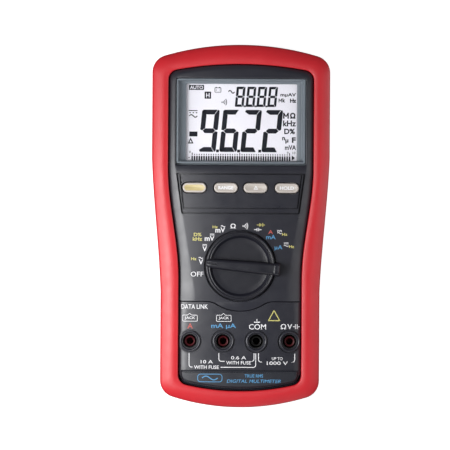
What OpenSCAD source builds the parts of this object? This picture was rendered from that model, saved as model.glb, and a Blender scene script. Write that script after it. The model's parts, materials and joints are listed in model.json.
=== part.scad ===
// Handheld digital multimeter lying face up in its rubber holster.
// X runs to the right of the face, Y towards the display end, Z out of the face.
// The origin is on the resting plane, under the middle of the outline.

/* [Holster] */
// Length of the holster, end to end
holster_length = 208; // [204:1:212]
// Half of the holster's width at the display end
holster_half = 51; // [50.5:0.1:52]
// Half of the holster's width at the socket end
holster_waist_half = 45.6; // [45:0.1:46]
// Height of the holster's rim above the resting plane
holster_height = 58.5; // [58:0.1:59.5]
// Thickness of the rubber wall
holster_wall = 3; // [2.6:0.1:3.2]

/* [Face] */
// Half of the rim opening's width at the display end
opening_half = 41.7; // [41.4:0.1:42]
// Half of the rim opening's width at the socket end
opening_waist_half = 35.3; // [35.1:0.1:35.5]
// Height of the face above the resting plane
face_height = 56; // [55.8:0.1:56.2]

/* [Display] */
// Width of the display recess
recess_width = 74.2; // [73.6:0.1:74.6]
// Height of the display recess, along Y
recess_height = 48.8; // [48.4:0.1:49]
// Width of the visible liquid crystal area
view_width = 64.6; // [64:0.1:65]
// Height of the visible liquid crystal area, along Y
view_height = 44.6; // [44:0.1:45]

/* [Keys] */
// Length of one key cap
key_length = 13.6; // [13.5:0.1:14]
// Width of one key cap
key_width = 5.5; // [5.2:0.1:5.7]
// Distance that a key travels
key_travel = 1.2; // [0.8:0.1:1.3]

/* [Selector] */
// Diameter of the selector knob's disc
knob_diameter = 40; // [39.6:0.1:40.2]
// Angle of the resting pointer, counter-clockwise from +X
pointer_angle = 175; // [172:1:178]
// Angle between two neighbouring selector positions
detent_pitch = 18.4; // [18.2:0.1:18.5]

/* [Sockets] */
// Distance between neighbouring sockets
socket_pitch = 19.05; // [18.9:0.05:19.2]
// Bore of a socket contact, for a standard test lead plug
contact_bore = 4; // [4:0.01:4.05]
// Depth of a contact's bore
contact_depth = 21.5; // [20:0.5:22]

/* [Back] */
// Diameter of the channels that hold the test probes
probe_bore = 11.5; // [11:0.1:11.8]
// Length of the tilt stand from its pin to its foot
stand_length = 96; // [88:1:98]
// Diameter of the tilt stand's pin
stand_pin = 3; // [2.8:0.1:3]

/* [Hidden] */
$fn = 48;
eps = 0.01;

// Levels above the resting plane, from the back to the face
back_level = 9;
case_back = back_level + holster_wall + 0.2;
joint_level = 34;
gasket_thickness = 0.8;
board_bottom = 40.4;
board_top = 42;
roof_under = 51.5;
lip_under = 54.2;
shoulder_level = 53.9;
band_level = 54.8;
lower_level = 55.6;
collar_level = 56.2;

// Plan of the outlines: ends of the side curves and radii of the end arcs
end_y = holster_length / 2;
outer_side = [39, -38];
outer_arcs = [155, 130];
outer_corner = 10;
opening_y = [92.9, -94.7];
opening_side = [33, -30];
opening_arcs = [205, 136];
opening_corner = 6;
case_inset = 3.6;
case_wall = 2.4;

recess_y = 60.2;
view_y = 59.6;
key_y = 21.9;
key_xs = [-26.5, -8.5, 8.5, 26.5];
knob_y = -22.9;
socket_y = -66.1;
socket_xs = [-1.5 * socket_pitch, -0.5 * socket_pitch, 0.5 * socket_pitch, 1.5 * socket_pitch];
plate_top_y = -82.6;

shaft_radius = 6;
rotor_radius = 21;
rotor_levels = [43.6, 48.2];
ball_radius = 1.3;
ball_centre = 21.3;
ball_level = 45.9;
ring_radius = 22.8;
detents = 10;
rest_detent = 1;

case_screw_places = [[-41.5, 40], [41.5, 40], [-34.5, -87], [34.5, -87]];
board_screw_places = [[-30, 90.3], [30, 90.3], [-31, -47], [31, -47]];
battery_y = 62;
cover_screw_x = 29.6;
fuse_level = 33.6;
fuse_radius = 5.15;
fuse_x = -8;
fuse_large_y = -50;
fuse_small_y = -37.5;
port_y = 88;

stand_y = 56;
stand_level = 5.2;
stand_half = 18;
clip_x = 31;
clip_ends = [-60, 64];

// Share of the way along an S-shaped side, from 0 to 1, partly straight
function ease(t, straight) = straight * t + (1 - straight) * (3 * t * t - 2 * t * t * t);

// One side of an outline, from far above it to far below it
function side_points(upper, lower, side, straight, steps) = concat(
    [[upper, 2 * end_y]],
    [for (i = [0 : steps]) [
        upper + (lower - upper) * ease(i / steps, straight),
        side[0] + (side[1] - side[0]) * i / steps]],
    [[lower, -2 * end_y]]);

function mirrored(points) = [for (i = [len(points) - 1 : -1 : 0]) [-points[i][0], points[i][1]]];

module waisted_outline(upper, lower, ends, side, straight, arcs, corner) {
    right = side_points(upper, lower, side, straight, 12);
    offset(r = corner, $fn = 48)
        offset(delta = -corner)
            intersection() {
                polygon(concat(right, mirrored(right)));
                translate([0, ends[0] - arcs[0]])
                    circle(arcs[0], $fn = 200);
                translate([0, ends[1] + arcs[1]])
                    circle(arcs[1], $fn = 200);
            }
}

module outer_outline(inset = 0) {
    offset(delta = -inset)
        waisted_outline(holster_half, holster_waist_half, [end_y, -end_y], outer_side, 0.5, outer_arcs, outer_corner);
}

module opening_outline(inset = 0) {
    offset(delta = -inset)
        waisted_outline(opening_half, opening_waist_half, opening_y, opening_side, 0, opening_arcs, opening_corner);
}

module slab(from, to) {
    translate([0, 0, from])
        linear_extrude(to - from)
            children();
}

module block(size, centre, from, to) {
    translate([centre[0] - size[0] / 2, centre[1] - size[1] / 2, from])
        cube([size[0], size[1], to - from]);
}

module stadium(length, width) {
    hull()
        for (side = [-1, 1])
            translate([side * (length - width) / 2, 0])
                circle(width / 2, $fn = 32);
}

module pin(place, radius, from, to) {
    translate([place[0], place[1], from])
        cylinder(r = radius, h = to - from);
}

module at_places(places) {
    for (place = places)
        translate([place[0], place[1], 0])
            children();
}

// Pan head screw with a cross recess, head downwards, its shank pointing up
module screw(head_level, head_radius, head_height, shank_radius, tip_level) {
    difference() {
        union() {
            pin([0, 0], head_radius, head_level, head_level + head_height);
            pin([0, 0], shank_radius, head_level, tip_level);
        }
        for (turn = [0, 90])
            rotate([0, 0, turn])
                translate([-head_radius * 0.6, -0.3, head_level - eps])
                    cube([head_radius * 1.2, 0.6, head_height * 0.6]);
    }
}

module holster() {
    color("crimson")
        difference() {
            union() {
                slab(back_level, back_level + 1.2) outer_outline(3.2);
                slab(back_level + 1.2, back_level + 3) outer_outline(1.4);
                slab(back_level + 3, holster_height - 2.6) outer_outline(0);
                slab(holster_height - 2.6, holster_height - 1.2) outer_outline(0.5);
                slab(holster_height - 1.2, holster_height) outer_outline(1.8);
                for (side = [-1, 1])
                    block([3, 10], [side * (stand_half + 2.1), stand_y], 1.4, back_level + 1);
            }
            slab(case_back - 0.2, lip_under) outer_outline(case_inset - 0.3);
            slab(lip_under - eps, holster_height + eps) opening_outline(0);
            slab(holster_height - 0.9, holster_height + eps) opening_outline(-1.2);
            block([22, 11], [0, port_y], back_level - eps, case_back);
            translate([0, stand_y, stand_level])
                rotate([0, 90, 0])
                    cylinder(d = stand_pin, h = 60, center = true);
        }
}

// Two open channels under the holster's back that hold the test probes and carry the resting plane
module probe_clips() {
    color("crimson")
        for (side = [-1, 1])
            translate([side * clip_x, 0, 0])
                rotate([-90, 0, 0])
                    translate([0, 0, clip_ends[0]])
                        linear_extrude(clip_ends[1] - clip_ends[0])
                            difference() {
                                translate([-8.5, -back_level])
                                    square([17, back_level]);
                                translate([0, -5.2])
                                    circle(d = probe_bore, $fn = 64);
                                translate([-4, -2])
                                    square([8, 3]);
                                translate([-3, -back_level - 1])
                                    square([6, 3]);
                            }
}

module tilt_stand() {
    foot_y = stand_y - stand_length;
    color("dimgray")
        difference() {
            union() {
                slab(stand_level - 1.7, stand_level + 1.7)
                    difference() {
                        offset(r = 4)
                            translate([-stand_half + 4, foot_y + 4])
                                square([2 * stand_half - 8, stand_length - 8]);
                        offset(r = 3)
                            translate([-7, foot_y + 17])
                                square([14, stand_length - 40]);
                    }
                translate([0, stand_y, stand_level])
                    rotate([0, 90, 0])
                        cylinder(r = 3.1, h = 2 * stand_half, center = true);
            }
            translate([0, stand_y, stand_level])
                rotate([0, 90, 0])
                    cylinder(d = stand_pin + 0.1, h = 60, center = true);
        }
}

module stand_pin_rod() {
    color("silver")
        translate([0, stand_y, stand_level])
            rotate([0, 90, 0])
                cylinder(d = stand_pin, h = 2 * (stand_half + 3.4), center = true);
}

// Raised middle of the face: display, keys and the shield around the selector
module plateau_outline() {
    intersection() {
        opening_outline(1.6);
        polygon([[-37.1, 100], [37.1, 100], [37.1, 30.3], [33.9, 6.8], [31.5, -22], [29, -31], [20, -43.3],
            [-20, -43.3], [-27.4, -35], [-31.5, -18], [-33.9, 6.8], [-37.1, 30.3]]);
    }
}

module lower_outline() {
    intersection() {
        opening_outline(1.6);
        difference() {
            translate([-60, -120])
                square([120, 120 - 43.9]);
            translate([0, knob_y])
                circle(26.3, $fn = 96);
        }
    }
}

module name_outline(inset) {
    intersection() {
        opening_outline(2.2 + inset);
        translate([-34.3 + inset, -120])
            square([68.6 - 2 * inset, 120 + plate_top_y - inset]);
    }
}

module key_grooves() {
    difference() {
        polygon([[-37.1, 30.3], [37.1, 30.3], [33.9, 6.8], [-33.9, 6.8]]);
        polygon([[-36.5, 29.8], [36.5, 29.8], [33.3, 7.3], [-33.3, 7.3]]);
    }
    difference() {
        polygon([[-35.4, 29.6], [35.4, 29.6], [33.1, 9.5], [-33.1, 9.5]]);
        polygon([[-35.0, 30], [35.0, 30], [32.7, 10], [-32.7, 10]]);
    }
}

module front_case() {
    color([0.25, 0.25, 0.28])
        difference() {
            union() {
                difference() {
                    slab(joint_level + gasket_thickness, shoulder_level) outer_outline(case_inset);
                    slab(joint_level, roof_under) outer_outline(case_inset + case_wall);
                }
                slab(shoulder_level - eps, band_level) opening_outline(0.7);
                slab(band_level - eps, face_height) plateau_outline();
                slab(band_level - eps, lower_level) lower_outline();
                pin([0, knob_y], 27, band_level, face_height);
                at_places(case_screw_places) pin([0, 0], 3.3, joint_level + gasket_thickness, roof_under + eps);
                at_places(board_screw_places) pin([0, 0], 3, board_top, roof_under + eps);
                pin([0, knob_y], 10, 49.2, roof_under + eps);
                for (x = socket_xs)
                    pin([x, socket_y], 6.25, lower_level - eps, collar_level);
            }
            block([recess_width, recess_height], [0, recess_y], joint_level, face_height + eps);
            for (x = key_xs)
                translate([x, key_y, 0])
                    slab(joint_level, face_height + eps) stadium(key_length + 0.8, key_width + 0.8);
            slab(face_height - 0.4, face_height + eps) key_grooves();
            pin([0, knob_y], knob_diameter / 2 + 0.5, 53.4, face_height + 1);
            pin([0, knob_y], shaft_radius + 0.05, joint_level, face_height);
            translate([0, knob_y, 0])
                rotate_extrude()
                    translate([shaft_radius, 50.2])
                        square([1.9, 1.9]);
            for (x = socket_xs) {
                pin([x, socket_y], 3.85, joint_level, collar_level + eps);
                difference() {
                    pin([x, socket_y], 6.6, lower_level - 0.5, collar_level + eps);
                    pin([x, socket_y], 6.2, lower_level - 1, collar_level + 1);
                }
            }
            slab(lower_level - 0.5, face_height) name_outline(0);
            at_places(case_screw_places) pin([0, 0], 1.25, joint_level, 48);
            at_places(board_screw_places) pin([0, 0], 1, joint_level, 48);
        }
}

module rear_case() {
    floor_level = case_back + 2.2;
    color([0.2, 0.2, 0.22])
        difference() {
            union() {
                difference() {
                    slab(case_back, joint_level) outer_outline(case_inset);
                    slab(floor_level, joint_level + eps) outer_outline(case_inset + case_wall);
                }
                block([74, 42], [0, battery_y], case_back, case_back + 3.7);
                block([56.4, 31.2], [0, battery_y], case_back, 33.4);
                for (side = [-1, 1])
                    pin([side * cover_screw_x, battery_y], 3, case_back, 24);
                at_places(case_screw_places) pin([0, 0], 3.3, case_back, joint_level);
            }
            block([66.6, 34.6], [0, battery_y], case_back - eps, case_back + 1.55);
            block([53.2, 28], [0, battery_y], case_back, 32);
            for (side = [-1, 1]) {
                pin([side * cover_screw_x, battery_y], 1, case_back, 22);
                pin([24.6, battery_y + side * 6], 1, 30, 34);
            }
            at_places(case_screw_places) {
                pin([0, 0], 1.6, case_back - eps, joint_level + eps);
                pin([0, 0], 2.7, case_back - eps, case_back + 2);
            }
            block([14, 6], [0, port_y], case_back - eps, floor_level + eps);
        }
}

module case_gasket() {
    color("black")
        slab(joint_level, joint_level + gasket_thickness)
            difference() {
                outer_outline(case_inset + 0.5);
                outer_outline(case_inset + 1.9);
            }
}

module case_screws() {
    color("silver")
        at_places(case_screw_places) screw(case_back + 0.3, 2.5, 1.7, 1.2, 46);
}

module board_screws() {
    color("silver")
        at_places(board_screw_places) screw(board_bottom - 1.6, 2.2, 1.6, 0.95, 47);
}

module display_bezel() {
    color([0.42, 0.47, 0.5])
        difference() {
            union() {
                block([recess_width - 0.2, recess_height - 0.2], [0, recess_y], 49.7, 54.6);
                block([75.6, 51.6], [0, recess_y], 49.7, roof_under - 0.1);
            }
            block([recess_width - 2.8, recess_height - 2.6], [0, recess_y], 52.4, 56);
            block([view_width, view_height], [0, view_y], 49, 56);
        }
}

module display_window() {
    color([0.9, 0.95, 1, 0.4])
        block([70, 48], [0, view_y], 48, 49.7);
}

module lcd_glass() {
    color([0.93, 0.93, 0.96])
        block([68, 47], [0, view_y], 45.2, 47.8);
}

module backlight_panel() {
    color("white")
        block([68, 40.6], [0, view_y], 42.4, 45.1);
}

module lcd_frame() {
    color("black")
        difference() {
            block([73.6, 51], [0, view_y], board_top, 47.9);
            block([68.4, 47.4], [0, view_y], board_top - 1, 48);
        }
}

module lcd_contact_strips() {
    color([0.3, 0.3, 0.32])
        for (side = [-1, 1])
            block([60, 1.9], [0, view_y + side * 22.1], board_top + 0.05, 45.15);
}

module keypad_mat() {
    color([0.35, 0.36, 0.38])
        slab(board_top, board_top + 0.8)
            difference() {
                translate([-35, key_y - 6.4])
                    square([70, 12.8]);
                for (x = key_xs)
                    translate([x, key_y])
                        circle(4.8);
            }
}

module key_cap(x, shade) {
    color(shade)
        translate([x, key_y, 0]) {
            slab(51.2 - eps, 57) stadium(key_length, key_width);
            slab(49.9, 51.2) stadium(key_length + 2.4, key_width + 2.4);
            pin([0, 0], 2.5, 46.6, 49.9 + eps);
        }
}

module key_select() { key_cap(key_xs[0], [0.86, 0.8, 0.55]); }
module key_range() { key_cap(key_xs[1], [0.82, 0.79, 0.75]); }
module key_delta() { key_cap(key_xs[2], [0.82, 0.79, 0.75]); }
module key_hold() { key_cap(key_xs[3], [0.82, 0.79, 0.75]); }

// Collapsing silicone dome under a key
module key_dome(x) {
    color([0.4, 0.41, 0.43])
        translate([x, key_y, 0])
            rotate_extrude()
                polygon([[3.9, board_top], [4.6, board_top], [2.9, 45.8], [2.4, 46.6], [0, 46.6], [0, 45.6],
                    [2.2, 45.6]]);
}

module dome_select() { key_dome(key_xs[0]); }
module dome_range() { key_dome(key_xs[1]); }
module dome_delta() { key_dome(key_xs[2]); }
module dome_hold() { key_dome(key_xs[3]); }

module terminal_block() {
    color([0.08, 0.08, 0.09])
        difference() {
            union() {
                block([70.5, 12], [0, socket_y], board_top, 44.2);
                for (x = socket_xs)
                    pin([x, socket_y], 5.2, board_top, roof_under);
            }
            for (x = socket_xs) {
                pin([x, socket_y], 3.85, 44.2, roof_under + eps);
                pin([x, socket_y], 2.6, board_top - eps, 45);
            }
        }
}

// Coloured insulator that stands in a socket around its contact
module socket_sleeve(x, shade) {
    color(shade)
        difference() {
            pin([x, socket_y], 3.2, 44.2, 52.3);
            pin([x, socket_y], 2.5, 44, 53);
        }
}

module sleeve_amps() { socket_sleeve(socket_xs[0], [0.5, 0.08, 0.1]); }
module sleeve_milliamps() { socket_sleeve(socket_xs[1], [0.5, 0.08, 0.1]); }
module sleeve_common() { socket_sleeve(socket_xs[2], [0.06, 0.06, 0.06]); }
module sleeve_volts() { socket_sleeve(socket_xs[3], [0.5, 0.08, 0.1]); }

module socket_contact(x) {
    mouth = 51.8;
    color("goldenrod")
        difference() {
            union() {
                pin([x, socket_y], 2.5, mouth - contact_depth - 1.5, mouth);
                pin([x, socket_y], 5.2, board_bottom - 1, board_bottom);
            }
            pin([x, socket_y], contact_bore / 2, mouth - contact_depth, mouth + eps);
        }
}

module contact_amps() { socket_contact(socket_xs[0]); }
module contact_milliamps() { socket_contact(socket_xs[1]); }
module contact_common() { socket_contact(socket_xs[2]); }
module contact_volts() { socket_contact(socket_xs[3]); }

module name_plate() {
    color([0.3, 0.32, 0.35])
        slab(lower_level - 0.5, lower_level + 0.1) name_outline(0.15);
}

module main_board() {
    color([0.1, 0.35, 0.2])
        difference() {
            slab(board_bottom, board_top)
                polygon([[-37, 92.6], [37, 92.6], [37, 5], [35.4, -30], [35.4, -81], [-35.4, -81], [-35.4, -30],
                    [-37, 5]]);
            pin([0, knob_y], 4.2, board_bottom - 1, board_top + 1);
            for (x = socket_xs)
                pin([x, socket_y], 2.6, board_bottom - 1, board_top + 1);
            at_places(board_screw_places) pin([0, 0], 1.1, board_bottom - 1, board_top + 1);
        }
}

// Chip with legs on two sides, under the board
module chip(place, size, legs) {
    translate([place[0], place[1], 0]) {
        block([size[0], size[1]], [0, 0], board_bottom - size[2], board_bottom - 0.2);
        for (side = [-1, 1], i = [0 : legs - 1])
            block([0.5, 1.6], [(i - (legs - 1) / 2) * 1.27, side * (size[1] / 2 + 0.7)], board_bottom - 1.2,
                board_bottom);
    }
}

module control_chips() {
    color([0.12, 0.12, 0.13]) {
        chip([14, -2], [15, 14, 2.2], 11);
        chip([-18, -6], [10.4, 7.5, 2.4], 8);
        chip([24, -30], [5.2, 4, 1.8], 4);
    }
}

module capacitors() {
    color([0.2, 0.25, 0.45])
        for (place = [[-30, 7], [30, 7], [-32, -6]])
            pin(place, 3.1, board_top, board_top + 7.5);
}

module surge_discs() {
    color("steelblue")
        for (x = [-14, 0, 14])
            translate([x, -53.2, board_top + 4.4])
                rotate([90, 0, 0])
                    cylinder(r = 4.3, h = 4);
}

module current_shunt() {
    color([0.72, 0.5, 0.35])
        translate([21, -48, board_bottom - 5])
            rotate([90, 0, 0]) {
                rotate([0, 0, 180])
                    rotate_extrude(angle = 180)
                        translate([5, 0])
                            circle(0.9, $fn = 24);
                for (side = [-1, 1])
                    translate([side * 5, 0, 0])
                        rotate([-90, 0, 0])
                            cylinder(r = 0.9, h = 5, $fn = 24);
            }
}

module buzzer() {
    color([0.1, 0.1, 0.1])
        difference() {
            pin([0, 9.1], 6, board_top, board_top + 5);
            pin([0, 9.1], 1.1, board_top + 3.4, board_top + 6);
        }
}

module shield_plate() {
    color([0.75, 0.76, 0.78])
        difference() {
            union() {
                block([68, 78], [0, 47], 35.4, 35.8);
                for (x = [-33.6, 33.6], y = [10, 84])
                    block([0.8, 5], [x, y], 35.4, board_bottom);
            }
            for (side = [-1, 1])
                pin([24.6, battery_y + side * 6], 2.2, 35, 36);
        }
}

module fuse(length, y, body_shade) {
    translate([fuse_x, y, fuse_level])
        rotate([0, 90, 0]) {
            color(body_shade)
                cylinder(r = fuse_radius - 0.25, h = length - 2, center = true);
            color("silver")
                for (side = [-1, 1])
                    translate([0, 0, side * (length / 2 - 3.5)])
                        cylinder(r = fuse_radius, h = 7, center = true);
        }
}

module fuse_large() { fuse(38, fuse_large_y, [0.85, 0.82, 0.75]); }
module fuse_small() { fuse(35, fuse_small_y, [0.88, 0.88, 0.86]); }

// Spring clip around a fuse cap, open downwards
module fuse_clip(x, y) {
    wall = 0.5;
    translate([x - 2.5, y, fuse_level])
        rotate([90, 0, 90])
            linear_extrude(5)
                difference() {
                    union() {
                        circle(fuse_radius + wall, $fn = 64);
                        translate([-2, 0])
                            square([4, board_bottom - fuse_level]);
                    }
                    circle(fuse_radius, $fn = 64);
                    translate([-3.4, -fuse_radius - 2])
                        square([6.8, 4]);
                }
}

module fuse_clips() {
    color("goldenrod")
        for (side = [-1, 1]) {
            fuse_clip(fuse_x + side * 15.5, fuse_large_y);
            fuse_clip(fuse_x + side * 14, fuse_small_y);
        }
}

battery_level = 14.1;
battery_end = 19.8;

module battery() {
    color([0.2, 0.3, 0.5])
        translate([battery_end - 46.4, battery_y - 13.2, battery_level])
            cube([46.4, 26.4, 17.4]);
    color("silver")
        for (side = [-1, 1])
            translate([battery_end - eps, battery_y + side * 6.35, battery_level + 8.7])
                rotate([0, 90, 0])
                    cylinder(r = 2.8, h = 2.1 + eps);
}

module battery_contacts() {
    color([0.1, 0.1, 0.1])
        difference() {
            union() {
                translate([battery_end + 2.2, battery_y - 12, battery_level + 1])
                    cube([4, 24, 15]);
                for (side = [-1, 1])
                    translate([battery_end + 0.1, battery_y + side * 6.35, battery_level + 8.7])
                        rotate([0, 90, 0])
                            cylinder(r = 3.7, h = 2.2);
            }
            for (side = [-1, 1])
                translate([battery_end, battery_y + side * 6.35, battery_level + 8.7])
                    rotate([0, 90, 0])
                        cylinder(r = 2.9, h = 2.2);
        }
}

module battery_pins() {
    color("goldenrod")
        for (side = [-1, 1])
            pin([24.6, battery_y + side * 6], 0.8, battery_level + 16, board_bottom);
}

module battery_cover() {
    color([0.2, 0.2, 0.22])
        difference() {
            block([66, 34], [0, battery_y], case_back, case_back + 1.5);
            for (side = [-1, 1])
                pin([side * cover_screw_x, battery_y], 1.2, case_back - 1, case_back + 2);
        }
}

module battery_cover_screws() {
    color("silver")
        for (side = [-1, 1])
            translate([side * cover_screw_x, battery_y, 0])
                screw(case_back - 0.1, 1.1, 0.4, 0.95, 21);
}

module infrared_window() {
    color([0.2, 0.02, 0.04])
        block([14, 6], [0, port_y], case_back + 0.3, case_back + 2.2);
}

// Bar across the disc: narrow pointer at one end, wide tail past the rim at the other
module bar_outline() {
    hull() {
        translate([22.7 - 1.2, -2.4])
            circle(1.2, $fn = 32);
        translate([22.7 - 1.2, 2.4])
            circle(1.2, $fn = 32);
        translate([-19.8 + 2.4, 0])
            circle(2.4, $fn = 32);
    }
}

module knob() {
    color([0.2, 0.2, 0.22])
        translate([0, knob_y, 0])
            rotate([0, 0, pointer_angle - 180])
                union() {
                    difference() {
                        pin([0, 0], knob_diameter / 2, 53.7, 58.6);
                        pin([0, 0], 17, 56.6, 59);
                    }
                    slab(56.6 - eps, 62.8) bar_outline();
                    slab(62.8 - eps, 64.5) offset(delta = -0.6) bar_outline();
                    difference() {
                        pin([0, 0], shaft_radius, 45.2, 53.7 + eps);
                        pin([0, 0], 1.25, 45, 52);
                    }
                }
}

module knob_screw() {
    color("silver")
        translate([0, knob_y, 0])
            screw(42.3, 2.6, 1.3, 1.2, 51);
}

module knob_seal() {
    color("black")
        translate([0, knob_y, 51.15])
            rotate_extrude()
                translate([shaft_radius + 0.95, 0])
                    circle(0.9, $fn = 24);
}

module switch_rotor() {
    color([0.85, 0.85, 0.82])
        translate([0, knob_y, 0])
            difference() {
                pin([0, 0], rotor_radius, rotor_levels[0], rotor_levels[1]);
                pin([0, 0], shaft_radius + 0.02, 45.19, rotor_levels[1] + 1);
                pin([0, 0], 1.3, 43, 46);
                for (turn = [90, 270])
                    rotate([0, 0, turn])
                        translate([13.5, 0, ball_level])
                            rotate([0, 90, 0])
                                cylinder(r = 1.45, h = 10);
            }
}

// Ring around the rotor with a shallow hollow at each selector position
module switch_housing() {
    color([0.8, 0.8, 0.78])
        translate([0, knob_y, 0])
            difference() {
                pin([0, 0], 25.6, board_top, 48.6);
                pin([0, 0], ring_radius, board_top - 1, 49);
                for (turn = [90, 270], i = [0 : detents - 1])
                    rotate([0, 0, turn + (rest_detent - i) * detent_pitch])
                        pin([ring_radius - 1.2, 0], 1.7, ball_level - 1.7, ball_level + 1.7);
            }
}

module wiper_contacts() {
    strip = 0.25;
    color("orange")
        translate([0, knob_y, 0])
            for (turn = [20, 140, 260], radius = [9, 13, 17])
                rotate([0, 0, turn])
                    translate([radius - 0.6, 0, 0])
                        rotate([90, 0, 90])
                            linear_extrude(1.2)
                                polygon([[-3, board_top + 0.3], [-2.4, board_top + 0.08], [-1.8, board_top + 0.3],
                                    [-0.8, 43.3], [0.8, 43.3], [1.8, board_top + 0.3], [2.4, board_top + 0.08],
                                    [3, board_top + 0.3], [2.4, board_top + 0.4], [1.9, board_top + 0.6],
                                    [0.9, 43.6], [-0.9, 43.6], [-1.9, board_top + 0.6], [-2.4, board_top + 0.4]]);
}

module detent_balls() {
    color("silver")
        translate([0, knob_y, ball_level])
            for (side = [-1, 1])
                translate([0, side * ball_centre, 0])
                    sphere(ball_radius, $fn = 48);
}

// Compression spring along +X, from 0 to length
module coil(length, radius, wire, turns) {
    sides = 6;
    rings = turns * 16;
    points = [for (i = [0 : rings], j = [0 : sides - 1])
        let (turn = i * 360 * turns / rings, out = radius + wire * cos(j * 360 / sides))
            [wire + (length - 2 * wire) * i / rings + wire * sin(j * 360 / sides), out * cos(turn), out * sin(turn)]];
    walls = [for (i = [0 : rings - 1], j = [0 : sides - 1])
        let (k = (j + 1) % sides)
            [i * sides + j, i * sides + k, (i + 1) * sides + k, (i + 1) * sides + j]];
    start = [for (j = [sides - 1 : -1 : 0]) j];
    finish = [for (j = [0 : sides - 1]) rings * sides + j];
    polyhedron(concat(points), concat(walls, [start, finish]), 4);
}

module detent_springs() {
    color("silver")
        translate([0, knob_y, ball_level])
            for (turn = [90, 270])
                rotate([0, 0, turn])
                    translate([13.6, 0, 0])
                        coil(6.3, 1.05, 0.2, 5);
}

holster();
probe_clips();
tilt_stand();
stand_pin_rod();
front_case();
rear_case();
case_gasket();
case_screws();
board_screws();
display_bezel();
display_window();
lcd_glass();
lcd_frame();
backlight_panel();
lcd_contact_strips();
keypad_mat();
key_select();
key_range();
key_delta();
key_hold();
dome_select();
dome_range();
dome_delta();
dome_hold();
terminal_block();
sleeve_amps();
sleeve_milliamps();
sleeve_common();
sleeve_volts();
contact_amps();
contact_milliamps();
contact_common();
contact_volts();
name_plate();
main_board();
control_chips();
capacitors();
surge_discs();
current_shunt();
buzzer();
shield_plate();
fuse_large();
fuse_small();
fuse_clips();
battery();
battery_contacts();
battery_pins();
battery_cover();
battery_cover_screws();
infrared_window();
knob();
knob_screw();
knob_seal();
switch_rotor();
switch_housing();
wiper_contacts();
detent_balls();
detent_springs();
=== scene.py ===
"""Looks of a handheld digital multimeter in a rubber holster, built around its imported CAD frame.

Shapes are written in millimetres in the CAD frame: X to the right of the face, Y to the display end,
Z out of the face.
"""

import json
import math

import bmesh
import bpy
from mathutils import Matrix, Vector


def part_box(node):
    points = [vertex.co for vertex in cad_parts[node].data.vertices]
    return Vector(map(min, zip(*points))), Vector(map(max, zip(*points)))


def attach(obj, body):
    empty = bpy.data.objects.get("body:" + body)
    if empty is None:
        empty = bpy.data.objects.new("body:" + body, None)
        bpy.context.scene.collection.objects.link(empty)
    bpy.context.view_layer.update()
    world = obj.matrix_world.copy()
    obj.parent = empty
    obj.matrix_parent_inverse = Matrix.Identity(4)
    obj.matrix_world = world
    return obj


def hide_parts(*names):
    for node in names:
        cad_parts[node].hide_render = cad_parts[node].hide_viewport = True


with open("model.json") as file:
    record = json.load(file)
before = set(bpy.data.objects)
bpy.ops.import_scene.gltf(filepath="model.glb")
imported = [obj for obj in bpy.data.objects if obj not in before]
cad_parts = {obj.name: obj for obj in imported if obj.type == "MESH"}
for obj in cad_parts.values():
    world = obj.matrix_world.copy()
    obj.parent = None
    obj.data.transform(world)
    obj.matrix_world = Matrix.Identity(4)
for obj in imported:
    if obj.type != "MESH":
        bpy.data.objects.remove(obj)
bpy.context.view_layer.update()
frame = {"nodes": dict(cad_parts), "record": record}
MM = 0.001
HOUSING = "housing"


def box_mm(node):
    """Lowest and highest corner of a CAD node, in millimetres."""
    low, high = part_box(node)
    return Vector(low) / MM, Vector(high) / MM


# ---------------------------------------------------------------- driving dimensions, from the frame
RIM_DROP = 0.8
RIM_Z = box_mm("holster")[1].z - RIM_DROP
BACK_Z = box_mm("probe_clips")[1].z
COLLAR_Z = box_mm("front_case")[1].z
FACE_Z = COLLAR_Z - 0.2
LOWER_Z = FACE_Z - 0.4
ROOF_Z = FACE_Z - 4.5
PLATE_Z = box_mm("name_plate")[1].z
HALF_LENGTH = box_mm("holster")[1].y
HALF_WIDTH = box_mm("holster")[1].x
LCD_Z = box_mm("lcd_glass")[1].z
WINDOW_Z = box_mm("display_window")[1].z
KNOB_TOP = box_mm("knob")[1].z
CASE_INSET = HALF_WIDTH - box_mm("front_case")[1].x
JOINTS = {joint["name"]: joint for joint in frame["record"]["behaviour"]["joints"]}
MOUNTS = {mount["name"]: mount for mount in frame["record"]["mounts"]}
KNOB_AT = Vector(JOINTS["selector_turn"]["pos_m"][:2]) / MM
SOCKETS = [
    (name, MOUNTS["socket_" + name]["pos_m"][0] / MM, MOUNTS["socket_" + name]["pos_m"][1] / MM)
    for name in ("amps", "milliamps", "common", "volts")
]
KEYS = [
    (name, JOINTS[name + "_press"]["pos_m"][0] / MM, JOINTS[name + "_press"]["pos_m"][1] / MM)
    for name in ("select", "range", "delta", "hold")
]
POINTER_TILT = math.radians(-5)

# ---------------------------------------------------------------- outlines
OUTER = dict(half=HALF_WIDTH, waist=45.6, ends=(HALF_LENGTH, -HALF_LENGTH), side=(39, -38), straight=0.5,
             arcs=(155, 130), corner=10)
OPENING = dict(half=41.7, waist=35.3, ends=(92.9, -94.7), side=(33, -30), straight=0,
               arcs=(205, 136), corner=6)


def ease(t, straight):
    """Share of the way along an S-shaped side, partly straight."""
    return straight * t + (1 - straight) * (3 * t * t - 2 * t ** 3)


def arc(centre, radius, start, end, steps):
    """Points on an arc, angles in degrees, both ends included."""
    angles = [math.radians(start + (end - start) * i / steps) for i in range(steps + 1)]
    return [(centre[0] + radius * math.cos(a), centre[1] + radius * math.sin(a)) for a in angles]


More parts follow.
